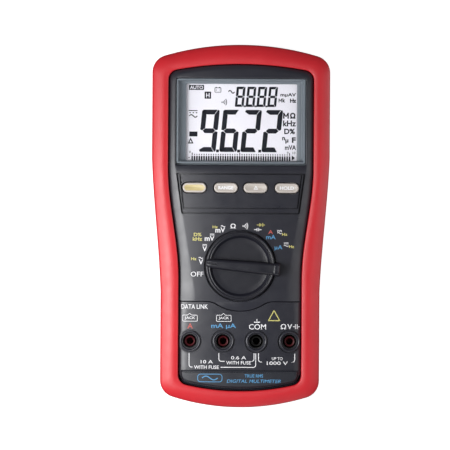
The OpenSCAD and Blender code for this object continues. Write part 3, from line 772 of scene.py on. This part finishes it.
def make_bezel():
    """Blue-grey frame: sloped walls down to a flat border around the liquid crystal."""
    low, high = box_mm("display_bezel")
    outer = rounded(RECESS[0] - 0.3, RECESS[1] - 0.3, 1.1, 0, RECESS[2])
    flange = rounded(high.x - low.x, high.y - low.y, 1.5, 0, RECESS[2])
    floor_out = rounded(RECESS[0] - 5.0, RECESS[1] - 3.6, 0.9, 0, RECESS[2])
    window = rounded(VIEW[0], VIEW[1], 0.7, 0.3, VIEW[2])
    rings = lifted([
        (flange, low.z), (flange, low.z + 1.5), (outer, low.z + 1.6), (outer, FACE_Z - 0.75),
        (inset(outer, 0.15), FACE_Z - 0.6), (inset(outer, 0.7), FACE_Z - 0.6),
        (inset(outer, 0.9), FACE_Z - 0.8), (inset(floor_out, -0.25), WINDOW_Z + 1.3),
        (floor_out, WINDOW_Z + 1.15), (inset(window, -0.5), WINDOW_Z + 1.05),
        (inset(window, -0.1), WINDOW_Z + 0.9), (window, WINDOW_Z + 0.6), (window, low.z)])
    dress(lofted("bezel_frame", rings, True, 20), "bezel_plastic", replaced=["display_bezel"])


SLANT = math.tan(math.radians(5.5))
SEGMENT_HEIGHT = 0.04
SEGMENTS_OF = {"9": "abcdfg", "6": "acdefg", "2": "abdeg", "8": "abcdefg"}


def segment_shapes(width, height, bar, gap):
    """Corner points of the seven segments of an upright digit, centred on its own middle."""
    w, h, m = width / 2, height / 2, bar / 2
    flat = [(-w + gap * 1.4, h - bar * 0.42), (-w + bar * 0.36, h), (w - bar * 0.42, h),
            (w - bar * 0.95 - gap, h - bar), (-w + bar * 0.95 + gap, h - bar)]
    middle = [(-w + m * 0.8 + gap, 0), (-w + bar * 0.9 + gap, m), (w - bar * 0.9 - gap, m),
              (w - m * 0.8 - gap, 0), (w - bar * 0.9 - gap, -m), (-w + bar * 0.9 + gap, -m)]
    upright = [(w - bar * 0.42 + gap * 1.1, h - gap * 0.2), (w - bar * 0.12, h - bar * 0.1),
               (w, h - bar * 0.4), (w, m * 0.5), (w - m * 0.8, gap * 0.9), (w - bar, m + gap * 0.5),
               (w - bar, h - bar - gap * 0.5)]
    flip_y = lambda shape: [(x, -y) for x, y in shape[::-1]]
    flip_x = lambda shape: [(-x, y) for x, y in shape[::-1]]
    return {"a": flat, "g": middle, "d": flip_y(flat), "b": upright, "c": flip_y(upright),
            "f": flip_x(upright), "e": flip_x(flip_y(upright))}


def flat_shape(bm, points, bottom, top, shear_about=None):
    """Thin upright prism of a polygon, sheared like a display digit if asked."""
    if shear_about is not None:
        points = [(x + (y - shear_about) * SLANT, y) for x, y in points]
    area = sum(points[i - 1][0] * p[1] - p[0] * points[i - 1][1] for i, p in enumerate(points))
    if area < 0:
        points = points[::-1]
    add_loft(bm, [[(x, y, z) for x, y in points] for z in (bottom, top)])


def add_digit(bm, digit, x, y, width, height, bar, level, gap=0.22):
    for key, shape in segment_shapes(width, height, bar, gap).items():
        if key in SEGMENTS_OF[digit]:
            flat_shape(bm, [(x + px, y + py) for px, py in shape], level, level + SEGMENT_HEIGHT, y)


# ---------------------------------------------------------------- printed marks
INK = 0.03
BRACKET_STROKE = 0.42


class Marks:
    """Printed marks of one colour at one level, gathered into one piece."""

    def __init__(self, name, slot, body=HOUSING):
        self.name, self.slot, self.body = name, slot, body
        self.bm = bmesh.new()

    def text(self, words, x, y, width, height, level, weight=0.02, shear=0.0):
        """Text scaled to fill a box of the given ink width and height, centred on x, y."""
        curve = bpy.data.curves.new("words", "FONT")
        curve.body = words
        curve.size = 1.0
        curve.offset = weight
        curve.shear = shear
        curve.extrude = 0.5
        curve.resolution_u = 3
        holder = placed("words", curve)
        graph = bpy.context.evaluated_depsgraph_get()
        mesh = bpy.data.meshes.new_from_object(holder.evaluated_get(graph))
        bpy.data.objects.remove(holder)
        xs = [v.co.x for v in mesh.vertices]
        ys = [v.co.y for v in mesh.vertices]
        fit = Matrix.Diagonal((width / (max(xs) - min(xs)), height / (max(ys) - min(ys)), INK, 1))
        centre = Matrix.Translation((-(max(xs) + min(xs)) / 2, -(max(ys) + min(ys)) / 2, 0.5))
        mesh.transform(Matrix.Translation((x, y, level)) @ fit @ centre)
        self.bm.from_mesh(mesh)
        bpy.data.meshes.remove(mesh)

    def texts(self, level, weight, *entries):
        """Several texts of one weight: words, X, Y, width and height of each."""
        for entry in entries:
            self.text(*entry, level, weight)

    def shape(self, points, level):
        flat_shape(self.bm, points, level, level + INK)

    def line(self, points, width, level, closed=False):
        """Stroke of even width along a path."""
        path = [Vector(p) for p in points]
        count = len(path)
        sides = []
        for i, point in enumerate(path):
            before = path[i - 1] if (closed or i) else path[0] - (path[1] - path[0])
            after = path[(i + 1) % count] if (closed or i < count - 1) else path[-1] + (path[-1] - path[-2])
            a, b = (point - before).normalized(), (after - point).normalized()
            normal = Vector((-a.y - b.y, a.x + b.x)).normalized()
            reach = width / 2 / max(0.4, normal.dot(Vector((-a.y, a.x))))
            sides.append((point + normal * reach, point - normal * reach))
        top = level + INK
        rings = [[(l.x, l.y, level), (r.x, r.y, level), (r.x, r.y, top), (l.x, l.y, top)] for l, r in sides]
        add_loft(self.bm, rings, closed=closed)

    def letter_m(self, x, y, width, height, stroke, level):
        """Capital M from four strokes, which stays legible when small and bold."""
        half, up = (width - stroke) / 2, height / 2
        for side in (-1, 1):
            self.line([(x + side * half, y - up), (x + side * half, y + up)], stroke, level)
            self.line([(x + side * half, y + up - stroke * 0.4), (x, y - up * 0.35)], stroke * 0.8, level)

    def tilde(self, x, y, width, height, stroke, level):
        wave = [(x + width * (i / 12 - 0.5), y + height / 2 * math.sin(math.tau * i / 12)) for i in range(13)]
        self.line(wave, stroke, level)

    def steady(self, x, y, width, stroke, gap, level):
        """Direct voltage sign: a line over three dashes."""
        self.line([(x - width / 2, y + gap / 2), (x + width / 2, y + gap / 2)], stroke, level)
        dash = width / 4.2
        for k in (-1, 0, 1):
            centre = x + k * (width - dash) / 2
            self.line([(centre - dash / 2, y - gap / 2), (centre + dash / 2, y - gap / 2)], stroke, level)

    def sound(self, x, y, size, stroke, level):
        """Continuity sign: a dot with waves."""
        self.shape(circle(x - size * 0.45, y, size * 0.11, 12), level)
        for k in (1, 2, 3):
            self.line(arc((x - size * 0.5, y), size * 0.3 * k, -38, 38, 8), stroke, level)

    def finish(self):
        return dress(finish_mesh(self.name, self.bm), self.slot, self.body)


def make_display():
    """Segments, signs and bars of the liquid crystal, just above its cell."""
    ink = Marks("display_segments", "display_ink")
    # the light cut-out letters share the cell's painted glow
    light = Marks("display_cutouts", "display_cell")
    level = LCD_Z + 0.005
    for i, digit in enumerate("9622"):
        add_digit(ink.bm, digit, -18.45 + 12.16 * i, 54.8, 10.1, 24.3, 2.75, level, 0.26)
    for i in range(3):
        ink.shape(rounded(1.75, 1.6, 0.2, -13.45 + 12.17 * i, 43.25, 2), level)
    for i in range(4):
        add_digit(ink.bm, "8", -0.55 + 6.24 * i, 74.5, 5.1, 11.6, 1.4, level, 0.2)
        if i < 3:
            ink.shape(rounded(1.15, 1.0, 0.1, 2.15 + 6.24 * i, 69.0, 2), level)
    # annunciators in the upper left
    ink.shape(rounded(8.7, 2.9, 0.3, -25.75, 79.75, 2), level)
    light.text("AUTO", -25.75, 79.75, 7.6, 2.0, level + 0.03, 0.02)
    ink.shape(rounded(3.7, 4.1, 0.3, -19.2, 75.3, 2), level)
    light.text("H", -19.2, 75.3, 2.0, 2.6, level + 0.03, 0.02)
    ink.line(rounded(3.5, 2.5, 0.3, -13.4, 78.3, 2), 0.34, level, closed=True)
    for side in (-1, 1):
        ink.shape(rounded(0.8, 0.5, 0.05, -13.4 + side * 1.0, 79.8, 1), level)
        ink.line([(-13.4 + side * 0.9 - 0.35, 78.3), (-13.4 + side * 0.9 + 0.35, 78.3)], 0.2, level)
    ink.line([(-14.3, 77.95), (-14.3, 78.65)], 0.2, level)
    ink.tilde(-5.6, 77.3, 3.6, 1.6, 0.6, level)
    ink.sound(-9.6, 71.3, 3.2, 0.42, level)
    ink.letter_m(22.6, 72.5, 2.0, 2.3, 0.45, level)
    ink.texts(level, 0.045, ("k", 24.6, 72.6, 1.5, 2.4), ("Hz", 30.0, 72.4, 3.6, 2.4))
    # left edge: direct and alternating signs, minus, relative
    ink.line([(-30.2, 66.35), (-25.1, 66.35)], 0.5, level)
    for k in range(3):
        ink.line([(-29.8 + k * 1.85, 65.15), (-28.9 + k * 1.85, 65.15)], 0.55, level)
    ink.tilde(-27.5, 63.3, 4.6, 1.5, 0.6, level)
    ink.shape(rounded(4.75, 2.8, 0.15, -27.4, 52.9, 2), level)
    ink.line([(-30.1, 47.7), (-27.8, 47.7), (-28.95, 50.2)], 0.6, level, closed=True)
    # right edge: units
    ink.letter_m(25.9, 63.75, 3.3, 3.4, 0.8, level)
    ink.text("Ω", 29.8, 63.75, 3.1, 3.4, level, 0.05)
    ink.text("D%", 28.0, 54.7, 6.2, 3.2, level, 0.035)
    ink.texts(level, 0.03, ("mµAV", 27.1, 75.6, 9.0, 2.4), ("kHz", 27.95, 59.3, 7.4, 3.4),
              ("mVA", 28.6, 45.4, 6.4, 2.8))
    ink.texts(level, 0.04, ("n", 24.6, 50.5, 1.7, 1.9), ("µ", 26.5, 48.9, 1.8, 2.4),
              ("F", 30.5, 49.7, 2.2, 3.2))
    ink.texts(level, 0.0, ("9", 27.0, 42.3, 0.9, 1.4), ("10", 30.6, 42.3, 1.7, 1.4),
              ("0", -29.3, 42.6, 0.9, 1.3))
    # bar graph: small scale above, bars below
    for k in range(42):
        x = -28.0 + k * 1.368
        ink.shape(rounded(0.88, 2.7, 0.05, x, 38.95, 1), level)
        tall = k in (0, 20, 41)
        ink.shape(rounded(0.5, 1.6 if tall else 0.7, 0.05, x, 41.4 if tall else 41.1, 1), level)
    ink.shape([(29.4, 37.9), (31.2, 39.35), (29.4, 40.8)], level)
    ink.line([(-30.2, 39.4), (-29.3, 39.4)], 0.4, level)
    ink.finish()
    light.finish()


# ---------------------------------------------------------------- keys
KEY_SIZE = (13.6, 5.5)
KEY_RIM = 0.85
KEY_SINK = 0.2


def make_keys():
    """Silicone-mounted caps: a rolled rim around a slightly sunk, coloured centre with a printed legend."""
    words = {"range": ("RANGE", 8.6), "hold": ("HOLD", 8.2)}
    for name, x, y in KEYS:
        low, high = box_mm("key_" + name)
        body = "button_" + name
        base = rounded(KEY_SIZE[0], KEY_SIZE[1], 2.74, x, y, 12)
        flange = rounded(KEY_SIZE[0] + 2.3, KEY_SIZE[1] + 2.3, 3.6, x, y, 12)
        bm = bmesh.new()
        rings = levels(flange, heights(high.z, (0, -7.1), (0, -5.9)))
        rings += levels(base, heights(high.z, (0, -5.8), (0, -0.9), (0.07, -0.5), (0.22, -0.2), (0.45, -0.03),
                                      (0.7, 0), (KEY_RIM, -0.12), (KEY_RIM + 0.2, -KEY_SINK)))
        add_loft(bm, rings)
        stem = circle(x, y, 2.5, 32)
        add_loft(bm, levels(stem, [(0, low.z), (0, high.z - 7.0)]))
        cap = finish_mesh("cap_" + name, bm, 40)
        dress(cap, "key_yellow" if name == "select" else "key_beige", body, ["key_" + name])
        cap.data.materials.clear()
        cap.data.materials.append(MATERIALS["key_beige"])
        cap.data.materials.append(MATERIALS["key_yellow" if name == "select" else "key_centre"])
        for face in cap.data.polygons:
            reach = (Vector((face.center.x, face.center.y)) / MM - Vector((x, y)))
            if face.normal.z > 0.9 and face.center.z / MM > high.z - 0.5 and abs(reach.y) < 0.3:
                face.material_index = 1
        if name == "select":
            continue
        legend = Marks("legend_" + name, "print_white", body)
        level = high.z - KEY_SINK - 0.01
        if name == "delta":
            legend.line([(x - 0.75, y - 0.75), (x + 1.15, y - 0.75), (x + 0.2, y + 0.95)], 0.4, level,
                        closed=True)
        else:
            legend.text(words[name][0], x, y, words[name][1], 2.0, level, 0.04)
        legend.finish()


# ---------------------------------------------------------------- knob
def make_knob():
    """Ringed, dished disc with the grip bar across it."""
    x, y = KNOB_AT
    disc_top = KNOB_TOP - 5.9
    dish = disc_top - 2.3
    low = box_mm("knob")[0].z
    profile = [(6.0, low), (6.0, ROOF_Z + 2.2), (19.2, ROOF_Z + 2.2), (19.7, ROOF_Z + 2.6)]
    profile += heights(disc_top, (19.8, -1.1), (19.65, -0.5), (19.3, -0.1), (18.95, 0), (18.6, -0.12),
                       (18.4, -0.5), (18.1, -0.55), (17.85, -0.25), (17.5, -0.15), (17.15, -0.4),
                       (16.7, -1.1))
    profile += heights(dish, (16.0, 0.35), (14.9, 0.08), (12.8, 0), (0.6, 0.02)) + [(0.6, low)]
    disc = turned("knob_disc", profile, x, y, 128, 40)
    bar = knob_bar(dish)
    bar.data.transform(Matrix.Translation((x * MM, y * MM, 0)) @ Matrix.Rotation(POINTER_TILT, 4, "Z"))
    knob = joined("knob_cap", [disc, bar])
    dress(knob, "knob_plastic", "selector", ["knob"])


TAIL_START = 20.2


def knob_bar(dish):
    """Grip bar: a narrow pointer on the rim at one end, a wide square tail past the disc at the other."""
    top, foot, tail_foot = KNOB_TOP, dish - 0.4, FACE_Z + 0.6
    stations = ((-19.7, 1.5, 2.0), (-19.5, 1.95, 1.1), (-19.1, 2.2, 0.5), (-18.2, 2.38, 0.15),
                (-16.5, 2.5, 0.02), (-8.0, 2.75, 0), (0.0, 2.95, 0), (10.0, 3.15, 0), (18.5, 3.3, 0),
                (18.9, 3.32, 0.22), (19.3, 3.36, 0.22), (19.7, 3.42, 0), (20.1, 3.44, 0), (20.3, 3.45, 0),
                (21.6, 3.5, 0.05), (22.3, 3.4, 0.35), (22.6, 3.2, 0.9), (22.7, 2.9, 1.6))
    rings = []
    for x, half, drop in stations:
        base = tail_foot if x > TAIL_START else foot
        k = min(1.0, half / 2.2)
        high = top - drop
        waist = max(base + 0.3, dish + 0.1)
        side = [(half + 0.5 * k, base), (half + 0.45 * k, waist), (half + 0.15 * k, waist + 0.6),
                (half, waist + 1.3), (half - 0.1 * k, high - 1.6), (half - 0.3 * k, high - 0.8),
                (half - 0.7 * k, high - 0.28), (half - 1.2 * k, high - 0.06), (half - 1.7 * k, high)]
        section = side + [(-y, z) for y, z in side[::-1]]
        rings.append([(x, y, z) for y, z in section])
    bar = lofted("bar", rings, sharp=50)
    notch = solid("cut", rounded(6.6, 0.9, 0.44, -16.6, 0),
                  heights(top, (0.15, -0.9), (0, -0.5), (-0.12, -0.1), (-0.12, 1)))
    return combined(bar, "DIFFERENCE", notch)


# ---------------------------------------------------------------- sockets
def make_sockets():
    """Insulators and contact tubes of the four sockets; the tubes are coloured with painted shade instead of
    brass.
    """
    slots = {"amps": "socket_red", "milliamps": "socket_red", "common": "socket_black", "volts": "socket_red"}
    for name, x, y in SOCKETS:
        low, high = box_mm("sleeve_" + name)
        profile = [(2.52, low.z), (3.2, low.z)]
        profile += heights(high.z, (3.2, -1.6), (2.95, -0.4), (2.85, -0.1), (2.75, 0), (2.62, -0.1),
                           (2.2, -0.4), (2.1, -0.48), (2.52, -0.49))
        sleeve = turned("insulator_" + name, profile, x, y, 64)
        dress(sleeve, slots[name], replaced=["sleeve_" + name])
        low, high = box_mm("contact_" + name)
        bore = MOUNTS["socket_" + name]["dims"]["r_mm"]
        depth = MOUNTS["socket_" + name]["dims"]["length_mm"]
        flange_top = box_mm("main_board")[0].z
        profile = [(0.02, low.z), (2.3, low.z), (2.5, low.z + 0.2), (2.5, flange_top - 1),
                   (5.2, flange_top - 1), (5.2, flange_top), (2.5, flange_top)]
        profile += heights(high.z, (2.5, -0.2), (2.3, 0), (bore + 0.12, 0), (bore, -0.2), (bore, -depth),
                           (0.02, -depth))
        contact = turned("contact_tube_" + name, profile, x, y, 64)
        dress(contact, "contact_brass", replaced=["contact_" + name])
        # the contact of a red socket gets red-tinted painted shade, the black socket's contact near-black
        # painted shade
        bore_shade = "contact_shaded" if slots[name] == "socket_red" else "contact_painted_shade"
        contact.data.materials[0] = MATERIALS[bore_shade]


# ---------------------------------------------------------------- dial and socket markings
def make_marks():
    """Print: signs round the dial, labels and brackets at the sockets, words on the name plate."""
    top, low = FACE_Z - 0.01, LOWER_Z - 0.01
    white = Marks("marks_white", "print_white")
    yellow = Marks("marks_yellow", "print_yellow")
    blue = Marks("marks_blue", "print_blue")
    red = Marks("marks_red", "print_red")
    # selector positions, from OFF clockwise
    white.text("OFF", -24.7, -27.7, 7.3, 2.8, top, 0.0)
    white.texts(top, 0.02, ("V", -22.5, -20.7, 2.5, 2.8), ("V", -20.4, -13.2, 2.5, 2.8),
                ("m", -19.0, -7.6, 2.9, 2.0), ("V", -16.2, -7.2, 2.6, 2.8), ("m", -12.9, -2.8, 2.9, 2.0),
                ("V", -10.1, -2.3, 2.6, 2.8), ("Ω", -4.2, 0.0, 3.0, 2.7))
    yellow.texts(top, 0.02, ("Hz", -26.6, -18.9, 3.0, 1.6), ("D%", -24.5, -5.0, 4.4, 2.0),
                 ("kHz", -24.6, -7.5, 5.4, 2.1), ("Hz", -14.5, -0.6, 2.9, 1.5), ("Hz", 25.4, -4.6, 2.9, 1.6),
                 ("Hz", 29.4, -11.6, 2.9, 1.6))
    for x, y in ((-22.6, -18.4), (-10.0, -0.2)):
        white.tilde(x, y, 2.4, 0.7, 0.4, top)
    for x, y in ((-20.4, -11.0), (-16.2, -5.0)):
        white.steady(x, y, 2.5, 0.34, 0.62, top)
    white.sound(2.9, 0.0, 3.2, 0.42, top)
    plates(white, 10.0, -2.0, 4.2, 1.8, 0.42, top)
    diode(yellow, 11.7, 0.7, 4.6, 2.1, top)
    red.text("A", 17.3, -3.3, 2.7, 2.2, top, 0.008)
    blue.text("mA", 17.5, -6.2, 5.4, 2.4, top, 0.008)
    blue.text("µA", 21.9, -12.3, 4.5, 2.9, top, 0.01)
    for x, steady_y, tilde_y in ((22.4, -2.7, -3.9), (26.3, -9.8, -11.2)):
        white.steady(x, steady_y, 2.6, 0.3, 0.6, top)
        white.tilde(x, tilde_y, 2.5, 0.6, 0.32, top)
    # socket field
    for x in (-28.6, -9.2):
        plug_sign(white, x, -52.8, low)
    red.text("A", -28.5, -57.4, 3.0, 2.9, low, 0.01)
    blue.text("mA µA", -9.3, -57.5, 14.2, 3.2, low, 0.012)
    white.line([(9.8, -53.2), (9.8, -55.0)], 0.42, low)
    white.line([(8.1, -55.1), (11.6, -55.1)], 0.5, low)
    white.texts(low, 0.012, ("Ω", 25.0, -57.5, 3.1, 2.9), ("V", 28.6, -57.5, 2.8, 2.9))
    plates(white, 32.4, -57.5, 3.6, 2.6, 0.42, low)
    yellow.line(softened([(16.4, -54.1), (22.8, -54.1), (19.6, -48.3)], 0.4, 2), 0.55, low, closed=True)
    sockets = [x for name, x, y in SOCKETS]
    bracket(white, sockets[0] - 0.4, sockets[2] - 0.3, -72.9, -81.0, (-27.0, -10.9), low)
    bracket(white, sockets[1] - 2.4, sockets[2] - 1.3, -72.9, -77.6, (-8.6, 7.4), low)
    bracket(white, sockets[2] + 1.3, sockets[3] + 3.0, -72.9, -77.9, (12.8, 30.2), low)
    white.texts(low, 0.008, ("DATA LINK", -26.0, -46.3, 15.2, 2.6), ("COM", 10.1, -57.7, 9.8, 3.1),
                ("10 A", -18.8, -77.9, 7.0, 1.9), ("WITH FUSE", -19.0, -81.0, 14.2, 2.0),
                ("0.6 A", -0.6, -75.5, 8.6, 1.9), ("WITH FUSE", -0.6, -78.4, 14.2, 2.0),
                ("UP TO", 21.6, -75.9, 6.2, 1.7), ("1000 V", 21.6, -78.5, 12.0, 2.0))
    plate = PLATE_Z - 0.13
    blue.line(rounded(14.0, 4.4, 1.6, -17.0, -87.2, 4), 0.36, plate, closed=True)
    blue.tilde(-17.0, -87.2, 9.0, 2.2, 0.55, plate)
    blue.text("DIGITAL MULTIMETER", 8.2, -88.9, 31.0, 1.9, plate, 0.008, shear=0.2)
    blue.text("TRUE RMS", 8.2, -85.9, 10.6, 1.9, plate, 0.008)
    for marks in (white, yellow, blue, red):
        marks.finish()


def diode(marks, x, y, width, height, level):
    """Diode sign: a triangle against a bar, on a lead."""
    marks.line([(x - width / 2, y), (x + width / 2, y)], 0.34, level)
    marks.shape([(x - height * 0.42, y + height / 2), (x - height * 0.42, y - height / 2),
                 (x + height * 0.42, y)], level)
    marks.line([(x + height * 0.5, y + height / 2), (x + height * 0.5, y - height / 2)], 0.4, level)


def plates(marks, x, y, width, height, stroke, level):
    """Capacitor sign: two plates with leads."""
    for side in (-1, 1):
        marks.line([(x + side * width / 2, y), (x + side * 0.5, y)], stroke, level)
        marks.line([(x + side * 0.5, y - height / 2), (x + side * 0.5, y + height / 2)], stroke, level)


def plug_sign(marks, x, y, level):
    """Rounded box with a peak on top and a short word inside."""
    box = [(x - 4.2, y - 1.9), (x + 4.2, y - 1.9), (x + 4.2, y + 1.6), (x + 0.9, y + 1.6),
           (x - 0.2, y + 2.7), (x - 1.3, y + 1.6), (x - 4.2, y + 1.6)]
    marks.line(softened(box, 0.5, 3), 0.28, level, closed=True)
    marks.text("JACK", x, y - 0.15, 6.0, 1.9, level, 0.01)


def bracket(marks, left, right, top, bottom, words, level):
    """Line down from one socket, along under the words, and up to the next socket."""
    turn = 1.4
    marks.line([(left, top)] + arc((left + turn, bottom + turn), turn, 180, 270, 6) + [(words[0], bottom)],
               BRACKET_STROKE, level)
    marks.line([(words[1], bottom)] + arc((right - turn, bottom + turn), turn, 270, 360, 6) + [(right, top)],
               BRACKET_STROKE, level)


def make_plate():
    """Film name plate with a raised hairline border."""
    low = LOWER_Z - 1.25
    steps = heights(PLATE_Z, (0, -0.6), (0.3, -0.28), (0.6, -0.03), (0.7, 0), (0.9, 0), (1.0, -0.12),
                    (1.2, -0.12))
    plate = solid("plate_film", plate_outline(0.3), [(0, low)] + steps)
    dress(plate, "plate_film", replaced=["name_plate"])


# ---------------------------------------------------------------- pieces kept from the frame
def dress_frame_nodes():
    """Rounds the visible CAD nodes and gives every node its own procedural material."""
    slots = {entry["node"]: entry["material_slot"] for entry in frame["record"]["subparts"]}
    dress(bevelled("clips_soft", "probe_clips", 0.6), "holster_rubber", replaced=["probe_clips"])
    dress(bevelled("stand_soft", "tilt_stand", 0.5), "stand_plastic", "stand", ["tilt_stand"])
    for node, piece in frame["nodes"].items():
        for i in range(len(piece.data.materials)):
            piece.material_slots[i].material = MATERIALS[slots[node]]


make_camera()
make_stage()
make_lights()
make_holster()
make_front_case()
make_bezel()
make_display()
make_keys()
make_knob()
make_sockets()
make_plate()
make_marks()
dress_frame_nodes()
